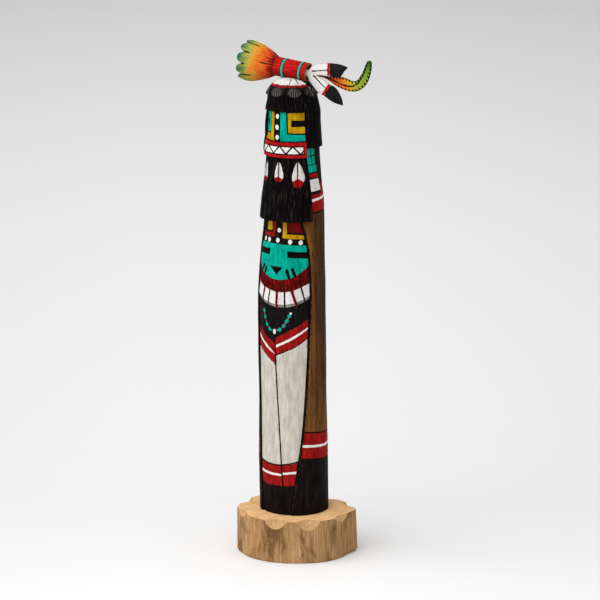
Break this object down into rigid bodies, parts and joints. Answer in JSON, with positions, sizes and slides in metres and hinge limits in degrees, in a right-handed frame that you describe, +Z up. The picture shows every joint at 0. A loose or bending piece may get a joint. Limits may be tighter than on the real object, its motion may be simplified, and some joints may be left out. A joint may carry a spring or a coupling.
{
  "type": "carved wooden kachina doll",
  "caption": "Slender painted wooden figure, robed trunk with front panel, masked head with beard and feather crown, on a hewn slab base.",
  "frame": {"origin": "on the trunk's axis, in the plane of the base's underside", "axes": "+Z up along the trunk, -Y to the figure's front, +X to the figure's left"},
  "size_m": [0.0898, 0.0677, 0.33],
  "materials": {
    "base_wood": "bare cottonwood, dry, hewn rim, vertical grain and dark streaks",
    "painted_figure": "brown stained and hand painted wood in black, turquoise, red, yellow and white, matt with a slight sheen",
    "painted_bundle": "hand painted wood, green to yellow to red fan and red wrap with turquoise rings, matt",
    "painted_white_feathers": "hand painted wood, white with red band and black tip, matt",
    "painted_parrot_feather": "hand painted wood, orange to yellow to green with black midrib, matt"
  },
  "bodies": {
    "root": {"base": "base_wood", "figure": "painted_figure", "feather_bundle": "painted_bundle", "white_feathers": "painted_white_feathers", "parrot_feather": "painted_parrot_feather"}
  },
  "joints": []
}
